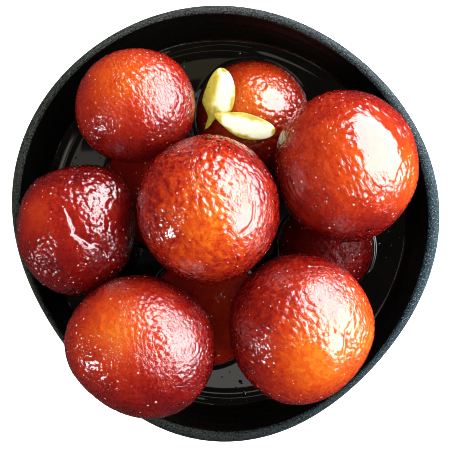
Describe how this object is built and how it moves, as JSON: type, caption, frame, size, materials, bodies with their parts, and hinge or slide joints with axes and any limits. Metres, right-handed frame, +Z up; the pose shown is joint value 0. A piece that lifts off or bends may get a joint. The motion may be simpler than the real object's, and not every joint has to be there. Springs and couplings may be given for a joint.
{
  "type": "gulab jamun in a bowl",
  "caption": "Syrup-soaked fried milk dumplings heaped in a black stoneware bowl with clear syrup and nut slivers on top.",
  "frame": {"origin": "centre of the bowl's footprint, on the surface that it stands on", "axes": "+Z up, +X to the right and +Y away from a diner who sees the dumpling that overhangs the rim at the near left"},
  "size_m": [0.1404, 0.1433, 0.0871],
  "materials": {
    "glaze": "gloss inside, matte speckled rim",
    "syrup": "clear wet gloss",
    "dumpling": "wet gloss over finely wrinkled skin",
    "nut": "satin"
  },
  "bodies": {
    "root": {"bowl": "glaze", "syrup": "syrup", "jamun_centre": "dumpling", "jamun_right": "dumpling", "jamun_front_right": "dumpling", "jamun_front_left": "dumpling", "jamun_left": "dumpling", "jamun_back_left": "dumpling", "jamun_back": "dumpling", "jamun_low_left": "dumpling", "jamun_low_front": "dumpling", "jamun_low_right": "dumpling", "nut_upright": "nut", "nut_level": "nut"}
  },
  "joints": []
}
